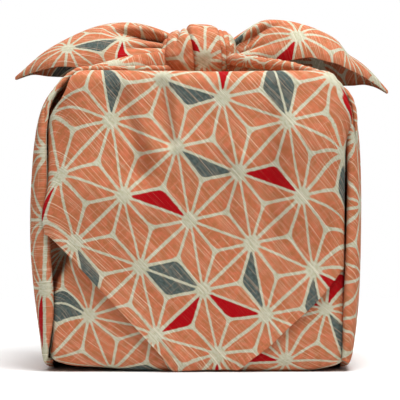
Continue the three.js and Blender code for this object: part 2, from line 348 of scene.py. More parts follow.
# Accent cells: star number along A and B, half of the rhombus, and side of that triangle.
CRIMSON_CELLS = ((-1, -2, 0, 1), (0, 0, 1, 0), (1, -1, 1, 0), (-1, 1, 1, 2), (2, 2, 1, 2),
                 (2, 2, 0, 2), (3, 1, 0, 2), (1, -2, 0, 1), (3, 3, 1, 1),
                 (8, 0, 0, 2), (8, 6, 1, 0), (8, 6, 0, 0), (4, 3, 0, 0), (6, 4, 1, 1),
                 (10, 3, 1, 2), (8, 4, 1, 1), (3, 5, 1, 1))
SLATE_CELLS = ((-2, -1, 0, 1), (-1, -1, 0, 2), (0, -2, 1, 1), (0, -2, 0, 1), (0, 0, 0, 2),
               (2, -1, 1, 1), (0, 2, 0, 1), (1, 2, 0, 2), (1, 1, 1, 0), (2, 1, 1, 1), (3, 1, 1, 1),
               (5, 7, 1, 0), (5, 0, 0, 2), (9, 7, 0, 1), (7, 0, 1, 0), (5, 5, 1, 1),
               (9, 3, 0, 2), (8, 1, 0, 2), (7, 4, 1, 2), (5, 6, 0, 1))
REPEAT = (12, 8)

# How the drape of the front flap pulls its print: at a star's place, how far it sits right and up.
PRINT_PULL = (
    # x      z     right  up
    (-22.1, 194.5, 1.3, -2.3),
    (-56.5, 167.2, -1.0, 1.7),
    (-90.1, 133.0, -2.3, -1.3),
    (17.4, 182.5, -0.7, 2.0),
    (-12.7, 149.3, 1.3, 0.0),
    (-48.2, 117.0, -2.0, -1.0),
    (88.5, 193.8, -3.3, -1.7),
    (61.1, 166.9, 1.4, 2.6),
    (28.2, 132.3, 0.7, -0.7),
    (-4.0, 100.8, 0.7, -1.0),
    (96.0, 148.0, -4.3, 1.5),
    (98.0, 178.0, 1.5, 6.0),
    (70.0, 117.0, 1.0, 0.3),
    (-26.5, 25.0, 1.0, 2.0),
    (77.8, 67.6, -0.7, -1.7),
    (14.2, 12.5, 0.1, 5.8),
    (36.9, 85.5, 0.0, 0.0),
    (4.7, 54.3, 0.0, 0.0),
    (46.2, 38.0, 0.0, 0.0),
    (-78.3, 86.8, -1.9, -1.1),
    (-36.8, 70.5, 0.0, -0.6),
)
PULL_REACH = 22
LEAST_PULL = 0.08               # weight of no pull at all, far from every listed star

# Short tugs on the print, at the flap's upper right, on the cloth under it and on the ears: place,
# how far, and how wide around.
CORNER_TUGS = ((94, 183, 3.0, 0, 9), (99, 169, -4.0, 0, 10), (99.5, 188, -5.0, 0, 7))
UNDER_TUGS = ((58, 10, -2.7, 5.3, 17), (84, 42, -2.2, 0.9, 17), (-90, 46, -4, -6, 15),
              (-85, 78, 0, -9, 14))
LEFT_EAR_TUGS = ((-37, -52, 5.0, 0, 12),)
RIGHT_EAR_TUGS = ((128.2, -11.5, 13.8, 7.2, 22),)

# How the lattice lies on each piece beside the flap.
UNDER_LAY = Lay((-71.6, 36.7), (42.7, -7.9), (-27.5, -29.8), (6, 0))
LEFT_SIDE_LAY = Lay((100.5, 57.7), (39.4, 22.8), (-4.5, -45.5), (5, 3))
RIGHT_SIDE_LAY = Lay((-82, 66), (41, -16), (-32, -31), (8, 4))
LEFT_EAR_LAY = Lay((-41.2, -35.3), (39.5, -3.6), (-3.5, -36.5), (10, 3))
RIGHT_EAR_LAY = Lay((61.4, -35.9), (30.8, -35.9), (-40.3, -15.8), (8, 4))
KNOT_LAY = Lay((5.8, -3.2), (44.3, -5.0), (-22.9, -38.5), (4, 6))
KNOT_PLEAT_LAY = KNOT_LAY._replace(turn=(4, 3))
KNOT_LEFT_LAY = Lay((-2.6, 21.4), (40.6, -21.1), (-32.5, -24.9), (6, 3))
LEFT_ROLL_LAY = Lay((12, 20), STAR_A, STAR_B, (9, 2))
RIGHT_ROLL_LAY = LEFT_ROLL_LAY._replace(turn=(8, 6))

# Slub threads: pitch and width in metres, and the share of them that is missing.
STRONG_THREADS = (0.0041, 0.00017, 0.42)
THIN_THREADS = (0.0013, 0.00013, 0.35)
CROSS_THREADS = (0.0052, 0.00014, 0.5)
PALE_THREAD = (0.66, 0.43, 0.29, 1.0)
CREAM_THREAD = (0.72, 0.68, 0.55, 1.0)

# Lamps of the stage, in metres: name, place, size, and share of the key light's power.
LAMPS = (("key_light", (0.16, -0.42, 0.95), 0.42, 1.0), ("back_light", (-0.1, 1.2, 0.9), 0.9, 0.8))
FLOOR_PALENESS = 0.85

# ---- settings a user would change ------------------------------------------------------------


class WrapSizes(bpy.types.PropertyGroup):
    """Sizes of the cloth that can be changed before it is built."""

    layer: bpy.props.FloatProperty(
        name="Cloth thickness", description="Thickness of one layer of the cotton",
        default=0.0011, min=0.0004, max=0.003, unit="LENGTH")
    flap_gap: bpy.props.FloatProperty(
        name="Flap gap", description="How far the outside of the front flap stands off the bundle",
        default=0.0022, min=0.001, max=0.006, unit="LENGTH")
    hem: bpy.props.FloatProperty(
        name="Hem width", description="Width of the narrow double hem on the free edges",
        default=0.005, min=0.002, max=0.015, unit="LENGTH")


class PrintColours(bpy.types.PropertyGroup):
    """Colours of the print and how strongly the uneven threads show."""

    ground: bpy.props.FloatVectorProperty(
        name="Ground", description="Coral of most cells", subtype="COLOR", size=3,
        default=(0.500, 0.158, 0.070), min=0, max=1)
    lines: bpy.props.FloatVectorProperty(
        name="Lines", description="Cream of the star lines", subtype="COLOR", size=3,
        default=(0.510, 0.500, 0.384), min=0, max=1)
    crimson: bpy.props.FloatVectorProperty(
        name="Crimson", description="Colour of the red accent cells", subtype="COLOR", size=3,
        default=(0.345, 0.001, 0.004), min=0, max=1)
    slate: bpy.props.FloatVectorProperty(
        name="Slate", description="Colour of the grey accent cells", subtype="COLOR", size=3,
        default=(0.077, 0.101, 0.093), min=0, max=1)
    slub: bpy.props.FloatProperty(
        name="Slub", description="How strongly the thick pale threads show",
        default=0.8, min=0, max=1, subtype="FACTOR")


class StageSettings(bpy.types.PropertyGroup):
    """Where the camera stands and how bright the lights are."""

    distance: bpy.props.FloatProperty(
        name="Camera distance", description="From the camera to the front of the bundle",
        default=1.4, min=0.5, max=5, unit="LENGTH")
    height: bpy.props.FloatProperty(
        name="Camera height", description="Height of the level camera above the base",
        default=0.1142, min=0, max=1, unit="LENGTH")
    aside: bpy.props.FloatProperty(
        name="Camera aside", description="How far the camera stands to the right of the middle",
        default=0.0026, min=-1, max=1, unit="LENGTH")
    width: bpy.props.FloatProperty(
        name="Width in view", description="Width that the view takes in at the front of the bundle",
        default=0.2649, min=0.05, max=2, unit="LENGTH")
    key: bpy.props.FloatProperty(
        name="Key light", description="Power of the large light above the front",
        default=7.6, min=0, max=200, unit="POWER")
    overhead: bpy.props.FloatProperty(
        name="Overhead light", description="Strength of the wide soft light from above",
        default=2.4, min=0, max=10)
    fill: bpy.props.FloatProperty(
        name="Surroundings", description="Brightness of the plain surroundings",
        default=0.2, min=0, max=2)


# ---- shader nodes ----------------------------------------------------------------------------


class Wire:
    """A socket of a material: arithmetic on it adds the nodes that work it out."""

    def __init__(self, loom, socket):
        self.loom = loom
        self.socket = socket

    def maths(self, operation, *values):
        """A Math node on the given values, of which at least one is a Wire."""
        inputs = dict(enumerate(values))
        return self.loom.node("ShaderNodeMath", {"operation": operation}, inputs)

    def __add__(self, other):
        return self.maths("ADD", self, other)

    def __radd__(self, other):
        return self.maths("ADD", other, self)

    def __sub__(self, other):
        return self.maths("SUBTRACT", self, other)

    def __rsub__(self, other):
        return self.maths("SUBTRACT", other, self)

    def __mul__(self, other):
        return self.maths("MULTIPLY", self, other)

    def __rmul__(self, other):
        return self.maths("MULTIPLY", other, self)

    def __mod__(self, other):
        return self.maths("MODULO", self, other)

    def __gt__(self, other):
        return self.maths("GREATER_THAN", self, other)

    def floor(self):
        return self.maths("FLOOR", self)

    def size(self):
        return self.maths("ABSOLUTE", self)

    def root(self):
        return self.maths("SQRT", self)

    def fraction(self):
        return self.maths("FRACT", self)

    def lower(self, other):
        return self.maths("MINIMUM", self, other)

    def upper(self, other):
        return self.maths("MAXIMUM", self, other)

    def rounded_lower(self, other, radius):
        """The lower of two numbers, with a rounded change from one to the other."""
        return self.maths("SMOOTH_MIN", self, other, radius)

    def is_number(self, number):
        """1 where this is the whole number given, and 0 elsewhere."""
        return self.maths("COMPARE", self, number, 0.5)

    def rise(self, low, high):
        """0 below low, 1 above high, smooth between."""
        settings = {"interpolation_type": "SMOOTHSTEP"}
        return self.loom.node(
            "ShaderNodeMapRange", settings, {"Value": self, "From Min": low, "From Max": high})


class Loom:
    """Makes the nodes of one material or world."""

    def __init__(self, owner):
        owner.use_nodes = True
        self.tree = owner.node_tree
        self.tree.nodes.clear()

    def node(self, kind, settings=None, inputs=None, output=0):
        """Adds a node, sets it up, and gives the Wire of one of its outputs."""
        made = self.tree.nodes.new(kind)
        for name, value in (settings or {}).items():
            setattr(made, name, value)
        for key, value in (inputs or {}).items():
            if isinstance(value, Wire):
                self.tree.links.new(value.socket, made.inputs[key])
            else:
                made.inputs[key].default_value = value
        return Wire(self, made.outputs[output]) if made.outputs else None

    def vector(self, x, y, z=0.0):
        """A vector from three numbers."""
        return self.node("ShaderNodeCombineXYZ", inputs={0: x, 1: y, 2: z})

    def split(self, vector):
        """The three numbers of a vector."""
        apart = self.node("ShaderNodeSeparateXYZ", inputs={0: vector}).socket.node
        return [Wire(self, socket) for socket in apart.outputs]

    def noise(self, place, detail=2.0, roughness=0.5):
        """Soft noise from 0 to 1 whose patches are about one unit of the place across."""
        settings = {"noise_dimensions": "2D"}
        inputs = {"Vector": place, "Scale": 1.0, "Detail": detail, "Roughness": roughness}
        return self.node("ShaderNodeTexNoise", settings, inputs)

    def mix(self, share, under, over):
        """One colour under another, which shows by its share."""
        settings = {"data_type": "RGBA"}
        return self.node("ShaderNodeMix", settings, {0: share, 6: under, 7: over}, output=2)


def cell_number(across, along, half, side):
    """The number of one cell within the repeat of the accents."""
    return ((across % REPEAT[0]) * REPEAT[1] + along % REPEAT[1]) * 6 + half * 3 + side


def hemp_leaf(loom, u, v, wander):
    """Cell distance in mm from the nearest cream line, below 0 on a line, and the cell's number."""
    grid = np.linalg.inv(np.array([STAR_A, STAR_B]).T) / MM
    start = -grid @ (np.array(STAR) * MM) + np.array(REPEAT) * 100
    (across_s, up_s), (across_t, up_t) = grid.tolist()
    s = u * across_s + v * up_s + float(start[0])
    t = u * across_t + v * up_t + float(start[1])
    f, g = s.fraction(), t.fraction()
    high, low = f.upper(g), f.lower(g)
    shares = (1 - high, high - low, low)
    least = shares[0].lower(shares[1]).lower(shares[2])
    most = shares[0].upper(shares[1]).upper(shares[2])
    middle = 1 - least - most
    tall = 0.866 * STAR_SPACING
    spoke = tall / math.sqrt(3)
    edge = (f.lower(1 - f) * tall - ROW_LINE).lower(g.lower(1 - g) * tall - CROSS_LINE)
    edge = edge.lower(shares[1] * tall - CROSS_LINE)
    near_spoke = (middle - least) * spoke - SPOKE_LINE
    far_spoke = (most - least) * spoke - SPOKE_LINE
    away = edge.rounded_lower(near_spoke, 2.2).rounded_lower(far_spoke, 5.0)
    off_s, off_t = s - (s + 0.5).floor(), t - (t + 0.5).floor()
    off_x = off_s * STAR_A[0] + off_t * STAR_B[0]
    off_z = off_s * STAR_A[1] + off_t * STAR_B[1]
    over = (off_x * GRAIN[0] + off_z * GRAIN[1]).size()
    down = (off_x * GRAIN[1] - off_z * GRAIN[0]).size()
    star = over.upper(down) - STAR_HALF
    away = away.rounded_lower(star, 1.6) + wander
    side = (least.maths("COMPARE", least, shares[1], 1e-5)
            + 2 * least.maths("COMPARE", least, shares[2], 1e-5)).lower(2.0)
    column = s.floor() % float(REPEAT[0])
    row = t.floor() % float(REPEAT[1])
    number = (column * float(REPEAT[1]) + row) * 6 + (g > f) * 3 + side
    return away, number


def any_of(number, cells):
    """1 in the listed cells and 0 in the others."""
    chosen = [number.is_number(float(cell_number(*cell))) for cell in cells]
    total = chosen[0]
    for each in chosen[1:]:
        total = total.upper(each)
    return total


def threads(loom, across, along, pitch, width, missing):
    """Pale slub threads: one somewhere in each pitch, thick or faint or missing, and uneven."""
    place = across * (1 / pitch)
    number = place.floor()
    random = loom.node("ShaderNodeTexWhiteNoise", {"noise_dimensions": "1D"}, {"W": number})
    other = loom.node("ShaderNodeTexWhiteNoise", {"noise_dimensions": "1D"}, {"W": number + 0.37})
    away = (place.fraction() - (0.15 + 0.7 * random)).size() * pitch
    uneven = loom.noise(loom.vector(number * 3.7, along * 55.0), 2.0)
    half = (other - missing).upper(0.0) * (width * 1.6) + width * 0.35
    line = 1 - (away - half).rise(0.0, width)
    return line * (other > missing) * uneven.rise(0.32, 0.6)


def printed_cotton(colours):
    """Matt slub cotton with the hemp-leaf print, on the UV map of the flat cloth in metres."""
    material = bpy.data.materials.new("hemp_leaf_slub_cotton")
    loom = Loom(material)
    flat = loom.node("ShaderNodeUVMap", {"uv_map": "flat_cloth"})
    u, v, _ = loom.split(flat)
    over = u * GRAIN[0] + v * GRAIN[1]
    down = u * GRAIN[1] - v * GRAIN[0]

    wobble = loom.noise(loom.vector(u * 300.0, v * 300.0), 3.0)
    yarn = loom.noise(loom.vector(over * 1400.0, down * 700.0), 1.0)
    wander = (wobble - 0.5) * 0.7 + (yarn - 0.5) * 0.5
    away, number = hemp_leaf(loom, u, v, wander)
    cell = away.rise(-0.25, 0.3)

    strong = threads(loom, over, down, *STRONG_THREADS)
    thin = threads(loom, over, down, *THIN_THREADS)
    cross = threads(loom, down, over, *CROSS_THREADS)
    rib = loom.noise(loom.vector(over * 1500.0, down * 90.0), 1.0)
    fleck = loom.noise(loom.vector(over * 700.0, down * 420.0), 3.0, 0.7)
    patch = loom.noise(loom.vector(u * 210.0, v * 210.0), 3.0, 0.65)
    cloud = loom.noise(loom.vector(u * 30.0, v * 30.0), 2.0)

    ground = tuple(colours.ground)
    brown = (ground[0] * 0.74, ground[1] * 0.82, ground[2] * 0.74, 1.0)
    rosy = (ground[0] * 1.12, ground[1] * 0.98, ground[2] * 1.12, 1.0)
    pale = tuple(min(1.0, c * 1.22 + 0.03) for c in ground) + (1.0,)
    body = loom.mix(patch.rise(0.34, 0.68), brown, rosy)
    body = loom.mix(fleck.rise(0.3, 0.75) * 0.6, body, ground + (1.0,))
    body = loom.mix(cloud.rise(0.5, 0.8) * 0.3, body, pale)
    body = loom.mix((1 - rib.rise(0.3, 0.5)) * 0.4, body, brown)
    slate_yarn = loom.mix(
        fleck.rise(0.3, 0.72), tuple(c * 0.62 for c in colours.slate) + (1.0,),
        tuple(c * 1.3 for c in colours.slate) + (1.0,))
    crimson = any_of(number, CRIMSON_CELLS)
    slate = any_of(number, SLATE_CELLS)
    body = loom.mix(crimson, body, tuple(colours.crimson) + (1.0,))
    body = loom.mix(slate, body, slate_yarn)
    showing = (1 - crimson * 0.93 - slate * 0.45) * colours.slub
    for seen in (strong * showing, thin * showing * 0.6, cross * showing * 0.4):
        body = loom.mix(seen, body, PALE_THREAD)

    lines = tuple(colours.lines)
    dull = (lines[0] * 0.78, lines[1] * 0.76, lines[2] * 0.66, 1.0)
    rose = (lines[0] * 1.02, lines[1] * 0.88, lines[2] * 0.86, 1.0)
    cream = loom.mix(fleck.rise(0.3, 0.6), dull, lines + (1.0,))
    cream = loom.mix(patch.rise(0.55, 0.75) * 0.6, cream, rose)
    cream = loom.mix((1 - rib.rise(0.35, 0.5)) * 0.55, cream, dull)
    cream = loom.mix((strong + thin * 0.6).lower(1.0) * 0.8, cream, CREAM_THREAD)
    colour = loom.mix(cell, cream, body)

    relief = strong * 0.5 + thin * 0.3 + fleck * 0.5 + rib * 0.4 + cross * 0.2
    bump = loom.node("ShaderNodeBump", inputs={
        "Strength": 0.6, "Distance": 0.0004, "Height": relief})
    rough = 0.9 - strong * 0.1
    shader = loom.node("ShaderNodeBsdfPrincipled", inputs={
        "Base Color": colour, "Roughness": rough, "Normal": bump, "Specular IOR Level": 0.12})
    loom.node("ShaderNodeOutputMaterial", inputs={"Surface": shader})
    return material


def cotton():
    """The one cloth's material, made the first time that a piece asks for it."""
    found = bpy.data.materials.get("hemp_leaf_slub_cotton")
    return found or printed_cotton(bpy.context.scene.wrap_colours)


# ---- meshes ----------------------------------------------------------------------------------


def grid_normals(spots):
    """Outward unit normals of a grid of points, from its rows and columns."""
    along = np.gradient(spots, axis=0)
    across = np.gradient(spots, axis=1)
    normal = np.cross(across, along)
    return normal / np.maximum(np.linalg.norm(normal, axis=2, keepdims=True), 1e-9)


def smooth_noise(seed, shape, cells, amount):
    """Gentle uneven heights over a grid, from a few seeded random heights."""
    rough = np.random.default_rng(seed).uniform(-1, 1, (cells[0] + 3, cells[1] + 3))
    rows = np.linspace(0, cells[0], shape[0])
    columns = np.linspace(0, cells[1], shape[1])

    def weights(place):
        first = place.astype(int)
        part = place - first
        return first, (1 - part) ** 3 / 6, (3 * part**3 - 6 * part**2 + 4) / 6, (
            -3 * part**3 + 3 * part**2 + 3 * part + 1) / 6, part**3 / 6

    first_row, *row_weights = weights(np.minimum(rows, cells[0] - 1e-6))
    first_column, *column_weights = weights(np.minimum(columns, cells[1] - 1e-6))
    total = np.zeros(shape)
    for i, down in enumerate(row_weights):
        for j, over in enumerate(column_weights):
            total += np.outer(down, over) * rough[np.ix_(first_row + i, first_column + j)]
    return total * amount * 1.6


def new_piece(name, spots, faces, flat):
    """A smooth-shaded mesh object, with the flat-cloth coordinates of each corner as its UV map."""
    mesh = bpy.data.meshes.new(name)
    mesh.from_pydata([tuple(spot) for spot in spots * MM], [], [tuple(face) for face in faces])
    layer = mesh.uv_layers.new(name="flat_cloth")
    corners = np.empty(len(mesh.loops), dtype=np.int32)
    mesh.loops.foreach_get("vertex_index", corners)
    layer.data.foreach_set("uv", (flat[corners] * MM).astype(np.float32).ravel())
    mesh.shade_smooth()
    mesh.validate()
    made = bpy.data.objects.new(name, mesh)
    made.data.materials.append(cotton())
    bpy.context.scene.collection.objects.link(made)
    return made


def grid_faces(rows, columns, first=0, turned=False):
    """Quads of a grid whose points are numbered row by row from first."""
    corner = first + np.arange((rows - 1) * columns).reshape(rows - 1, columns)[:, :-1].ravel()
    quads = np.stack([corner, corner + 1, corner + columns + 1, corner + columns], axis=1)
    return quads[:, ::-1] if turned else quads


def cloth_sheet(name, spots, flat, thickness, outward=1):
    """A thin sheet: its outer face on the grid of spots, its inner face one thickness inside."""
    rows, columns = spots.shape[:2]
    inner = spots - grid_normals(spots) * outward * thickness
    count = rows * columns
    number = np.arange(count).reshape(rows, columns)
    rim = np.concatenate([
        number[0, :], number[1:, -1], number[-1, -2::-1], number[-2:0:-1, 0]])
    after = np.roll(rim, -1)
    band = np.stack([rim, after, after + count, rim + count], axis=1)
    turned = outward < 0
    faces = np.concatenate([
        grid_faces(rows, columns, 0, turned),
        grid_faces(rows, columns, count, not turned),
        band if turned else band[:, ::-1],
    ])
    both = np.concatenate([spots.reshape(-1, 3), inner.reshape(-1, 3)])
    charts = np.concatenate([flat.reshape(-1, 2), flat.reshape(-1, 2)])
    return new_piece(name, both, faces, charts)


def creases(places, at):
    """Sum of soft troughs, each of them (place, width, share), at each point across a sheet."""
    total = np.zeros_like(at)
    for place, width, share in places:
        total = total + share * np.exp(-(((at - place) / width) ** 2))
    return total


def drift(places, at):
    """How many of the troughs have been passed at each point, smoothly, weighted by their share."""
    total = np.zeros_like(at)
    for place, width, share in places:
        total = total + share * 0.5 * (1 + np.tanh((at - place) / (0.6 * width)))
    return total


def travelled(spots, axis):
    """Distance along a grid from its first row or column, in mm."""
    steps = np.linalg.norm(np.diff(spots, axis=axis), axis=2)
    start = np.zeros_like(np.take(steps, [0], axis=axis))
    return np.concatenate([start, np.cumsum(steps, axis=axis)], axis=axis)


def line_crease(x, z, x0, z0, x1, z1, left, right, depth):
    """A soft straight trough or ridge between two points, fading out past its ends."""
    way = np.array([x1 - x0, z1 - z0])
    length = np.hypot(*way)
    way = way / length
    along = (x - x0) * way[0] + (z - z0) * way[1]
    aside = (z - z0) * way[0] - (x - x0) * way[1]
    width = np.where(aside < 0, left, right)
    past = np.maximum(np.maximum(-along, along - length), 0)
    return depth * np.exp(-((aside / width) ** 2) - (past / (1.2 * min(left, right))) ** 2)


# ---- bundle and front flap -------------------------------------------------------------------


def rounding(reach, limit, radius):
    """How far a rounded edge has fallen away at a distance from the middle."""
    past = np.clip(np.abs(reach) - (limit - radius), 0, radius)
    return radius - np.sqrt(np.maximum(radius**2 - past**2, 0))


def bundle_skin(across, around, lift=0.0):
    """Points on the bundle: across from its middle, around it from the foot of the front, up, over
    the top, down the back and under the base, and out from it by lift."""
    side = np.interp(around, LOOP_LENGTH, LOOP_SIDE)
    level = np.interp(around, LOOP_LENGTH, LOOP_LEVEL)
    angle = np.radians(np.interp(around, LOOP_LENGTH, LOOP_ANGLE))
    inset = rounding(across, HALF_WIDTH, UPRIGHT)
    shoulder = np.where(across < 0, *SHOULDER)
    top = TOP - rounding(across, HALF_WIDTH, shoulder)
    low = np.interp(across, *zip(*BASE_LIFT))
    belly = BELLY * np.sin(np.pi * np.clip(level, 0, 1)) * (1 - (across / HALF_WIDTH) ** 2)
    tilt = TILT * np.clip((level - 0.5) / 0.5, 0, 1) ** 2
    y = side * (HALF_DEPTH - inset - EDGE + belly - tilt) + (EDGE + lift) * np.cos(angle)
    z = low + EDGE + level * (top - low - 2 * EDGE) + (EDGE + lift) * np.sin(angle)
    return np.stack([across, y, z], axis=-1)


def base_lift(across, around):
    """How far the rising base has lifted a point on the front, back or base of the bundle."""
    level = np.clip(np.interp(around, LOOP_LENGTH, LOOP_LEVEL), 0, 1)
    return np.interp(across, *zip(*BASE_LIFT)) * (1 - level)


def settled(across, around):
    """How far a point on the front lies above or below its height on a plain square bundle."""
    level = np.clip(np.interp(around, LOOP_LENGTH, LOOP_LEVEL), 0, 1)
    shoulder = np.where(across < 0, *SHOULDER)
    return base_lift(across, around) - rounding(across, HALF_WIDTH, shoulder) * level


def loop_flat(across, around):
    """Flat-cloth place of a point on the bundle: level with its height on the front."""
    height = around - FOOT + base_lift(across, around)
    return np.stack([across + 0 * height, height], axis=-1)


def flat_of(spots, lay):
    """Flat-cloth place of surface points (across, along) of a piece whose print lies as given."""
    own = np.array([lay.way_a, lay.way_b], dtype=float).T
    printed = np.array([STAR_A, STAR_B]).T
    steps = (spots - np.array(lay.star)) @ np.linalg.inv(own).T + np.array(lay.turn)
    return steps @ printed.T + np.array(STAR)


def pulled(own, tugs):
    """Flat-cloth places, drawn aside near the listed ones."""
    total = own.copy()
    for x, y, right, up, reach in tugs:
        near = np.exp(-((own[..., 0] - x) ** 2 + (own[..., 1] - y) ** 2) / reach**2)
        total += near[..., None] * np.array([right, up])
    return total


def flap_creases(across, around):
    """Depth of the soft creases in the cloth over the front of the bundle."""
    height = around - FOOT
    depth = np.zeros(np.broadcast(across, height).shape)
    for crease in FLAP_CREASES:
        depth = depth + line_crease(across, height, *crease)
    return depth * np.clip((TOP_OF_FRONT + 8 - around) / 8, 0, 1)


def bundle_spots(across, around):
    """The bundle's outside, creased like the flap over it, with the hollows beside its folds."""
    spots = bundle_skin(across, around)
    height = spots[..., 2]
    front = np.interp(around, LOOP_LENGTH, LOOP_SIDE) < 0
    place, wide, deep = (
        np.interp(height, HOLLOW_HEIGHT, row)
        for row in (HOLLOW_ACROSS, HOLLOW_WIDTH, HOLLOW_DEPTH))
    dent = flap_creases(across, around) + deep * np.exp(-(((across - place) / wide) ** 4))
    place, wide, deep, low, high = RIGHT_GROOVE
    fade = np.clip((high - height) / (high - low), 0, 1)
    dent = dent + deep * np.exp(-(((across - place) / wide) ** 2)) * fade
    place, level, wide, tall, deep = CORNER_HOLLOW
    dent = dent + deep * np.exp(-(((across - place) / wide) ** 4) - ((height - level) / tall) ** 4)
    spots[..., 1] += np.where(front, dent * np.clip(height / 8, 0, 1), 0)
    return spots


def make_bundle():
    """The filled square bundle, wrapped in the near corner of the cloth."""
    side = np.linspace(-1, 1, 121)
    across = HALF_WIDTH * (0.75 * side + 0.25 * np.sin(side * math.pi / 2))
    around = np.linspace(0, LOOP_LENGTH[-1], 261)[:-1]
    across, around = np.meshgrid(across, around)
    spots = bundle_spots(across, around)
    seam = TOP_OF_FRONT + 0.5 * OVER
    along = np.where(around < seam, around, around - LOOP_LENGTH[-1]) - FOOT
    own = np.stack([across, along + base_lift(across, around)], axis=-1)
    flat = flat_of(pulled(own, UNDER_TUGS), UNDER_LAY)
    rows, columns = across.shape
    last = np.arange(columns - 1) + (rows - 1) * columns
    closing = np.stack([last, last + 1, np.arange(1, columns), np.arange(columns - 1)], axis=1)
    faces = [tuple(face) for face in np.concatenate([grid_faces(rows, columns), closing])]
    spots, flat = list(spots.reshape(-1, 3)), list(flat.reshape(-1, 2))
    for column, hand in ((0, -1), (columns - 1, 1)):
        middle = np.array([hand * (HALF_WIDTH + SIDE_SWELL), 0, TOP / 2])
        outer = [row * columns + column for row in range(rows)]
        for shrink in SIDE_RINGS:
            inner = list(range(len(spots), len(spots) + rows))
            for place in outer:
                spots.append(middle + (spots[place] - middle) * shrink)
                flat.append(flat[place])
            for i, place in enumerate(outer):
                j = (i + 1) % rows
                quad = (place, outer[j], inner[j], inner[i])
                faces.append(quad if hand < 0 else quad[::-1])
            outer = inner
        spots.append(middle)
        flat.append(flat[outer[0]])
        for i, place in enumerate(outer):
            corner = (place, outer[(i + 1) % rows], len(spots) - 1)
            faces.append(corner if hand < 0 else corner[::-1])
    made = new_piece("bundle", np.array(spots), faces, np.array(flat))
    return made


def print_pull(across, height):
    """How far the drape has pulled the print of the front flap at each point."""
    total = np.zeros(across.shape + (2,))
    weight = np.full(across.shape, LEAST_PULL)
    for x, z, right, up in PRINT_PULL:
        near = np.exp(-(((across - x) / PULL_REACH) ** 2) - ((height - z) / PULL_REACH) ** 2)
        total += near[..., None] * np.array([right, up])
        weight += near
    return total / weight[..., None]


def flap_edges(around, on_front):
    """Where the flap's left and right edges and its left and right hems lie across."""
    height = np.maximum(around - FOOT, 0)
    left_edge = np.interp(height, *zip(*FLAP_LEFT_EDGE))
    right_edge = np.interp(height, *zip(*FLAP_RIGHT_EDGE))
    hem_left, hem_right = left_edge, right_edge
    for _ in range(6):
        hem_left = HEM_LEFT[0] + HEM_LEFT[1] * (height + settled(hem_left, around))
        hem_right = HEM_RIGHT[0] + HEM_RIGHT[1] * (height + settled(hem_right, around))
        hem_left = np.maximum(hem_left, left_edge)
        hem_right = np.minimum(hem_right, right_edge)
    low, turned = RIGHT_HEM_FOOT
    hem_right = hem_right - turned * np.clip((low - height) / low, 0, 1) ** 1.3
    level, reach, bow = RIGHT_HEM_BOW
    hem_right = hem_right + bow * np.exp(-(((height - level) / reach) ** 2))
    left = np.where(on_front, hem_left, left_edge)
    right = np.where(on_front, np.minimum(hem_right, right_edge), right_edge)
    return left, right, hem_left, hem_right


def hem_rise(away, hem, rise):
    """How far a doubled hem stands up from single cloth, at a distance from its edge."""
    return rise / (1 + np.exp((away - hem) / 0.35))


def flap_lift(across, on_front, hem_left, hem_right, sizes):
    """How far the flap stands off the bundle, with its doubled and stitched hems."""
    from_left = (across - hem_left[:, None]) / math.hypot(1, HEM_LEFT[1])
    from_right = (hem_right[:, None] - across) / math.hypot(1, HEM_RIGHT[1])
    hem = sizes.hem / MM
    lift = np.full(across.shape, sizes.flap_gap / MM)
    for gap, away in zip(HEM_GAPS, (from_left, from_right)):
        away = np.where(on_front[:, None], np.maximum(away, 0), 200)
        lift = lift + gap * np.exp(-((away / 10) ** 2)) + hem_rise(away, hem, HEM_RISE)
        lift = lift - HEM_STITCH * np.exp(-(((away - hem + 0.9) / 0.5) ** 2))
    return lift + smooth_noise(7, across.shape, (14, 9), 0.5)


def make_front_flap(sizes):
    """The far corner of the cloth: up the back, over the top and down the front to its tip."""
    rows, columns = 300, 150
    around = np.interp(
        np.linspace(0, 1, rows), [0, 0.62, 0.8, 1],
        [BEND * 0.55, TOP_OF_FRONT, TOP_OF_FRONT + OVER, LOOP_LENGTH[7] - 0.5 * BEND])
    on_front = around < BEND + UP + 0.5 * BEND
    left, right, hem_left, hem_right = flap_edges(around, on_front)
    part = np.linspace(0, 1, columns)
    part = 0.7 * part + 0.3 * (0.5 - 0.5 * np.cos(np.pi * part))
    across = left[:, None] + (right - left)[:, None] * part[None, :]
    around = np.broadcast_to(around[:, None], across.shape)
    height = around - FOOT
    spots = bundle_skin(across, around, flap_lift(across, on_front, hem_left, hem_right, sizes))
    spots[..., 1] += flap_creases(across, around) * np.clip(height / 12, 0, 1)
    for hand, level, reach, out in FLAP_PUFFS:
        near = np.clip((hand * across - PUFF_START) / PUFF_REACH, 0, 1.1) ** 2
        puff = out * np.exp(-(((height - level) / reach) ** 2)) * near * on_front[:, None]
        spots[..., 0] += hand * puff
        spots[..., 1] -= 1.25 * puff
    spots[..., 2] = np.maximum(spots[..., 2], 0.3)
    flat = pulled(loop_flat(across, around) - print_pull(across, height), CORNER_TUGS)
    made = cloth_sheet("front_flap", spots, flat, sizes.layer / MM)
    return made


# ---- side cloth, ears and knot ---------------------------------------------------------------


def side_spots(table, pleats, hand, share, section):
    """Points of a side cloth at a share of the way up and over, and across its level section."""
    row = table.at(share)
    cut = SIDE_SECTION.at(section)
    sunk = row.crown * (1 - cut.out) + row.pleat * creases(pleats, cut.back)
    lean = np.radians(row.lean)
    near_knot = np.clip(share * 10 - 7, 0, 1)
    y = row.half * (cut.back * (1 - 0.06 * near_knot))
    x = row.reach - np.cos(lean) * sunk
    z = row.height - np.sin(lean) * sunk
    return np.stack([hand * x, y, z], axis=-1)


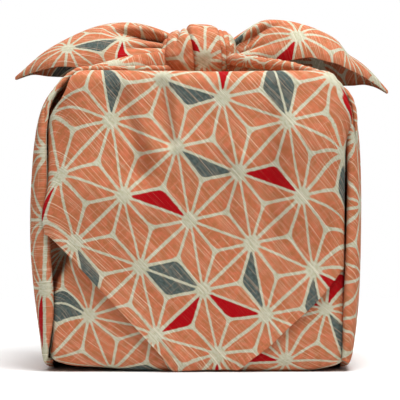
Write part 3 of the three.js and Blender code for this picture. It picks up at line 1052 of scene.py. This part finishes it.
def make_side_cloth(name, table, pleats, hand, sizes, lay):
    """One side corner of the cloth: up the side, gathered over the shoulder, on to the knot."""
    rows, columns = 170, 161
    share, section = np.meshgrid(np.linspace(0, 1, rows), np.linspace(0, 1, columns), indexing="ij")
    spots = side_spots(table, pleats, hand, share, section)
    spots[..., 0] += hand * smooth_noise(11 + hand, share.shape, (12, 8), 0.7)
    corner = np.abs(SIDE_SECTION.at(section).back) ** 5
    spots[..., 2] = np.maximum(spots[..., 2], 0.5 + FOOT_RISE * corner)
    across = travelled(spots, 1)
    across = across - across[:, [columns // 2]]
    along = travelled(spots, 0)[:, [columns // 2]] + 0 * across
    row = table.at(share)
    passed = drift(pleats, SIDE_SECTION.at(section).back)
    passed = passed - passed[:, [columns // 2]]
    shares = sum(share_of for _, _, share_of in pleats)
    across = across + (row.gather - 1) * 2 * row.half / shares * passed
    flat = flat_of(np.stack([hand * across, along], axis=-1), lay)
    made = cloth_sheet(name, spots, flat, sizes.layer / MM, outward=-hand)
    return made


def ear_folds(folds, reach, section):
    """How far the folds sink the cloth of an ear; each is deepest near the knot and fades out."""
    total = np.zeros(np.broadcast(reach, section).shape)
    for near, from_place, far, to_place, before, after, depth in folds:
        part = np.clip((reach - near) / (far - near), 0, 1)
        aside = section - from_place - (to_place - from_place) * part
        strength = np.clip((reach - near) / 12, 0, 1) * (1 - part**2)
        width = np.where(aside < 0, before, after) * (1 + 0.5 * part)
        total = total + depth * strength * np.exp(-((aside / width) ** 2))
    return total


def ear_surface(table, folds, hand, share, section):
    """Points of an ear at a share of the way to its tip and across it from front to back, and how
    far along and across the flat cloth they lie."""
    row = table.at(share)
    turn = np.radians(EAR_TURN) * section
    drop = np.where(section < 0, row.front, row.back)
    inward = ear_folds(folds, row.reach, section)
    inward = np.minimum(inward, 0.85 * row.half * np.sqrt(np.abs(np.sin(turn))))
    y = row.half * np.sin(turn) - inward * np.sign(turn) * np.sqrt(np.abs(np.sin(turn)))
    z = row.ridge - drop * (1 - np.cos(turn)) - 0.45 * inward * np.cos(turn)
    spots = np.stack([hand * row.reach, y, z], axis=-1)
    middle = section.shape[1] // 2
    smooth = np.stack([
        hand * row.reach, row.half * np.sin(turn), row.ridge - drop * (1 - np.cos(turn))], axis=-1)
    across = travelled(smooth, 1)
    across = (across - across[:, [middle]]) * row.pull
    along = travelled(smooth, 0)[:, [middle]] + 0 * across
    return spots, np.stack([hand * along, across], axis=-1)


def make_ear(name, table, folds, hand, sizes, lay, tuck, tugs):
    """One tied corner of the cloth: gathered at the knot, arched, and pointed at its far end. Tuck
    is how much cloth the folds on its back take in."""
    rows, columns = 170, 161
    share, section = np.meshgrid(
        np.linspace(0, 1, rows), np.linspace(-1, 1, columns), indexing="ij")
    spots, own = ear_surface(table, folds, hand, share, section)
    fade = np.clip((1 - share) * 6, 0, 1)
    spots[..., 2] += smooth_noise(23 + hand, share.shape, (9, 7), 0.5) * fade
    hem = sizes.hem / MM
    edge = travelled(spots, 1)
    from_edge = np.minimum(edge, edge[:, [-1]] - edge)
    spots[..., 2] += hem_rise(from_edge, hem, EAR_HEM_RISE) * np.clip((share - 0.35) * 6, 0, 1)
    own[..., 1] += tuck * (0.5 + 0.5 * np.tanh((section - 0.35) / 0.15))
    flat = flat_of(pulled(own, tugs), lay)
    made = cloth_sheet(name, spots, flat, sizes.layer / MM, outward=hand)
    return made


def knot_surface(share, around):
    """Points of the knot at a share of the way across and around it from its foot up the front,
    their place on the flat cloth, and how many creases lie on their left."""
    row = KNOT.at(share)
    turn = 2 * math.pi * around + math.pi / 2
    sunk = np.zeros(share.shape)
    layer = np.zeros(share.shape)
    for foot, front, top, back, width, depth, step, start in KNOT_CREASES:
        line = np.interp(around, [0, 0.25, 0.48, 0.75, 1], [foot, front, top, back, foot])
        aside = row.across - line
        begun = np.clip((around - start) / 0.06, 0, 1)
        sunk = sunk + depth * begun * np.exp(-((aside / width) ** 2))
        sunk = sunk - step * 0.5 * np.tanh(aside / width)
        layer = layer + (aside > 0)
    wrinkle = 0.35 * np.sin(7 * turn + 0.25 * row.across)
    wrinkle = wrinkle + 0.25 * np.sin(12 * turn - 0.3 * row.across)
    sunk = np.clip(sunk + wrinkle, -2, 0.5 * row.deep)
    y = (row.deep - sunk) * np.cos(turn)
    z = KNOT_MIDDLE - (row.high - sunk) * np.sin(turn)
    spots = np.stack([row.across + 0 * turn, y, z], axis=-1)
    smooth = np.stack([
        row.across, row.deep * np.cos(turn), KNOT_MIDDLE - row.high * np.sin(turn)], axis=-1)
    up = travelled(smooth, 1)
    up = up - up[:, [share.shape[1] // 4]]
    return spots, np.stack([row.across, up], axis=-1), layer


def make_knot(sizes):
    """The flat square knot: gathered corners rolled over each other."""
    rows, columns = 201, 161
    share, around = np.meshgrid(np.linspace(0, 1, rows), np.linspace(0, 1, columns), indexing="ij")
    spots, own, layer = knot_surface(share, around)
    left = flat_of(own, KNOT_LEFT_LAY)
    pleats = flat_of(own * (1.6, 1.0) + (layer * 9.0)[..., None], KNOT_PLEAT_LAY)
    flat = np.where((layer < 3)[..., None], left, flat_of(own, KNOT_LAY))
    flat = np.where((layer > 3)[..., None], pleats, flat)
    made = cloth_sheet("knot", spots, flat, sizes.layer / MM, outward=1)
    return made


def make_rolled_edge(name, table, hand, sizes, lay, cut):
    """The rolled front edge of a side cloth, from the knot over the shoulder and down the side.
    Cut, the width in metres of the strip of cloth in it, is not used."""
    rows, columns = 150, 33
    share, around = np.meshgrid(np.linspace(0, 1, rows), np.linspace(0, 1, columns), indexing="ij")
    row = table.at(share)
    line = np.stack([row.across, row.depth, row.height], axis=-1)
    way = np.gradient(line, axis=0)
    way = way / np.linalg.norm(way, axis=2, keepdims=True)
    out = np.cross(way, np.array([0.0, 1.0, 0.35]))
    out = out / np.linalg.norm(out, axis=2, keepdims=True)
    side = np.cross(way, out)
    along = travelled(line, 0)
    angle = 2 * math.pi * around
    radius = row.radius * (1 + 0.07 * np.sin(along * 0.9 + 2 * angle) + 0.05 * np.sin(along * 0.37))
    spots = line + radius[..., None] * (
        np.cos(angle)[..., None] * out + np.sin(angle)[..., None] * side)
    turned_in = angle * radius * ROLL_TAKES
    own = np.stack([hand * along * ROLL_GATHER + turned_in / 2, turned_in], axis=-1)
    made = cloth_sheet(name, spots, flat_of(own, lay), sizes.layer / MM * 0.6, outward=1)
    return made


# ---- operators -------------------------------------------------------------------------------


def finish_piece(made):
    """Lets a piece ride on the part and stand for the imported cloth."""
    if not made.data.polygons:
        raise RuntimeError(f"{made.name} has no faces")
    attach(made, "root")
    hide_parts(NODE)


class FUROSHIKI_OT_bundle(bpy.types.Operator):
    """Add the square bundle in its under layer of cloth."""

    bl_idname = "furoshiki.bundle"
    bl_label = "Bundle"

    def execute(self, context):
        finish_piece(make_bundle())
        return {"FINISHED"}


class FUROSHIKI_OT_front_flap(bpy.types.Operator):
    """Add the cloth over the back, top and front, down to its tucked tip."""

    bl_idname = "furoshiki.front_flap"
    bl_label = "Front flap"

    def execute(self, context):
        finish_piece(make_front_flap(context.scene.wrap_sizes))
        return {"FINISHED"}


class FUROSHIKI_OT_side_cloth(bpy.types.Operator):
    """Add both side corners of the cloth, gathered over the shoulders, and their rolled edges."""

    bl_idname = "furoshiki.side_cloth"
    bl_label = "Side cloth"

    def execute(self, context):
        sizes = context.scene.wrap_sizes
        for row in (
                ("left_side_cloth", LEFT_SIDE, LEFT_PLEATS, -1, sizes, LEFT_SIDE_LAY),
                ("right_side_cloth", RIGHT_SIDE, RIGHT_PLEATS, 1, sizes, RIGHT_SIDE_LAY)):
            finish_piece(make_side_cloth(*row))
        for row in (
                ("left_rolled_edge", LEFT_ROLL, -1, sizes, LEFT_ROLL_LAY, 0.010),
                ("right_rolled_edge", RIGHT_ROLL, 1, sizes, RIGHT_ROLL_LAY, 0.013)):
            finish_piece(make_rolled_edge(*row))
        return {"FINISHED"}


class FUROSHIKI_OT_knot(bpy.types.Operator):
    """Add the flat square knot on top."""

    bl_idname = "furoshiki.knot"
    bl_label = "Knot"

    def execute(self, context):
        finish_piece(make_knot(context.scene.wrap_sizes))
        return {"FINISHED"}


class FUROSHIKI_OT_ears(bpy.types.Operator):
    """Add the two tied corners that stand out from the knot."""

    bl_idname = "furoshiki.ears"
    bl_label = "Ears"

    def execute(self, context):
        sizes = context.scene.wrap_sizes
        for row in (
                ("left_ear", LEFT_EAR, LEFT_EAR_FOLDS, -1, sizes,
                 LEFT_EAR_LAY, 0, LEFT_EAR_TUGS),
                ("right_ear", RIGHT_EAR, RIGHT_EAR_FOLDS, 1, sizes,
                 RIGHT_EAR_LAY, 25, RIGHT_EAR_TUGS)):
            finish_piece(make_ear(*row))
        return {"FINISHED"}


class FUROSHIKI_OT_stage(bpy.types.Operator):
    """Add the pale floor, the soft lights and the camera."""

    bl_idname = "furoshiki.stage"
    bl_label = "Stage"

    def execute(self, context):
        stage = context.scene.wrap_stage
        make_floor()
        make_lights(stage)
        make_camera(stage)
        return {"FINISHED"}


class FUROSHIKI_PT_panel(bpy.types.Panel):
    """The wrap's settings and the buttons that build its pieces."""

    bl_label = "Furoshiki wrap"
    bl_idname = "FUROSHIKI_PT_panel"
    bl_space_type = "VIEW_3D"
    bl_region_type = "UI"
    bl_category = "Furoshiki"

    def draw(self, context):
        scene = context.scene
        for settings in (scene.wrap_sizes, scene.wrap_colours, scene.wrap_stage):
            box = self.layout.box()
            for name in settings.bl_rna.properties.keys():
                if name not in ("rna_type", "name"):
                    box.prop(settings, name)
        for operator in OPERATORS:
            self.layout.operator(operator.bl_idname)


# ---- stage -----------------------------------------------------------------------------------


def make_floor():
    """A wide, plain pale floor that fades out into the surroundings."""
    size = 6.0
    share = np.linspace(-1, 1, 13)
    x, y = np.meshgrid(share * size, share * size)
    spots = np.stack([x, y, 0 * x], axis=-1).reshape(-1, 3)
    mesh = bpy.data.meshes.new("floor")
    faces = grid_faces(13, 13)
    mesh.from_pydata([tuple(spot) for spot in spots], [], [tuple(face) for face in faces])
    material = bpy.data.materials.new("pale_floor")
    loom = Loom(material)
    right, back, _ = loom.split(loom.node("ShaderNodeNewGeometry", output="Position"))
    away = (right * right + back * back).root()
    shader = loom.node("ShaderNodeBsdfPrincipled", inputs={
        "Base Color": (FLOOR_PALENESS,) * 3 + (1.0,), "Roughness": 0.9, "Specular IOR Level": 0.0,
        "Alpha": 1 - away.rise(0.45, 1.0)})
    loom.node("ShaderNodeOutputMaterial", inputs={"Surface": shader})
    floor = bpy.data.objects.new("floor", mesh)
    floor.data.materials.append(material)
    bpy.context.scene.collection.objects.link(floor)


def make_lights(stage):
    """Plain pale surroundings, a soft light above the front, one behind and a wide one overhead."""
    world = bpy.data.worlds.new("surroundings")
    loom = Loom(world)
    white = (1.0, 1.0, 1.0, 1.0)
    glow = loom.node("ShaderNodeBackground", inputs={"Color": white, "Strength": stage.fill})
    backdrop = loom.node("ShaderNodeBackground", inputs={"Color": white, "Strength": 1.0})
    seen = loom.node("ShaderNodeLightPath")
    sky = loom.node("ShaderNodeMixShader", inputs={0: seen, 1: glow, 2: backdrop})
    loom.node("ShaderNodeOutputWorld", inputs={"Surface": sky})
    bpy.context.scene.world = world
    for name, place, size, share in LAMPS:
        light = bpy.data.lights.new(name, "AREA")
        light.shape = "SQUARE"
        light.size = size
        light.energy = stage.key * share
        place_lamp(name, light, place)
    overhead = bpy.data.lights.new("overhead_light", "SUN")
    overhead.energy = stage.overhead
    overhead.angle = math.radians(50)
    place_lamp("overhead_light", overhead, (0.0, -0.1, 2.0))


def place_lamp(name, light, place):
    """Puts a light in its place, facing the middle of the wrap."""
    lamp = bpy.data.objects.new(name, light)
    lamp.location = place
    lamp.rotation_euler = (Vector((0, 0, 0.12)) - lamp.location).to_track_quat("-Z", "Y").to_euler()
    bpy.context.scene.collection.objects.link(lamp)


def make_camera(stage):
    """A level camera a little above the middle of the front."""
    camera = bpy.data.cameras.new("camera")
    camera.sensor_width = 36
    camera.lens = camera.sensor_width * stage.distance / stage.width
    seat = bpy.data.objects.new("camera", camera)
    seat.location = (stage.aside, -0.1 - stage.distance, stage.height)
    seat.rotation_euler = (math.pi / 2, 0, 0)
    bpy.context.scene.collection.objects.link(seat)
    bpy.context.scene.camera = seat
    bpy.context.scene.view_settings.view_transform = "Standard"


# ---- registration ----------------------------------------------------------------------------

OPERATORS = (
    FUROSHIKI_OT_stage, FUROSHIKI_OT_bundle, FUROSHIKI_OT_front_flap, FUROSHIKI_OT_side_cloth,
    FUROSHIKI_OT_knot, FUROSHIKI_OT_ears)
SETTINGS = (WrapSizes, PrintColours, StageSettings)


def register():
    """Registers the settings, the operators and the panel."""
    for each in (*SETTINGS, *OPERATORS, FUROSHIKI_PT_panel):
        bpy.utils.register_class(each)
    bpy.types.Scene.wrap_sizes = bpy.props.PointerProperty(type=WrapSizes)
    bpy.types.Scene.wrap_colours = bpy.props.PointerProperty(type=PrintColours)
    bpy.types.Scene.wrap_stage = bpy.props.PointerProperty(type=StageSettings)


def unregister():
    """Takes away what register added."""
    del bpy.types.Scene.wrap_stage
    del bpy.types.Scene.wrap_colours
    del bpy.types.Scene.wrap_sizes
    for each in reversed((*SETTINGS, *OPERATORS, FUROSHIKI_PT_panel)):
        bpy.utils.unregister_class(each)


def main():
    """Builds the wrap piece by piece."""
    register()
    for operator in OPERATORS:
        group, name = operator.bl_idname.split(".")
        getattr(getattr(bpy.ops, group), name)()


if __name__ == "__main__":
    main()
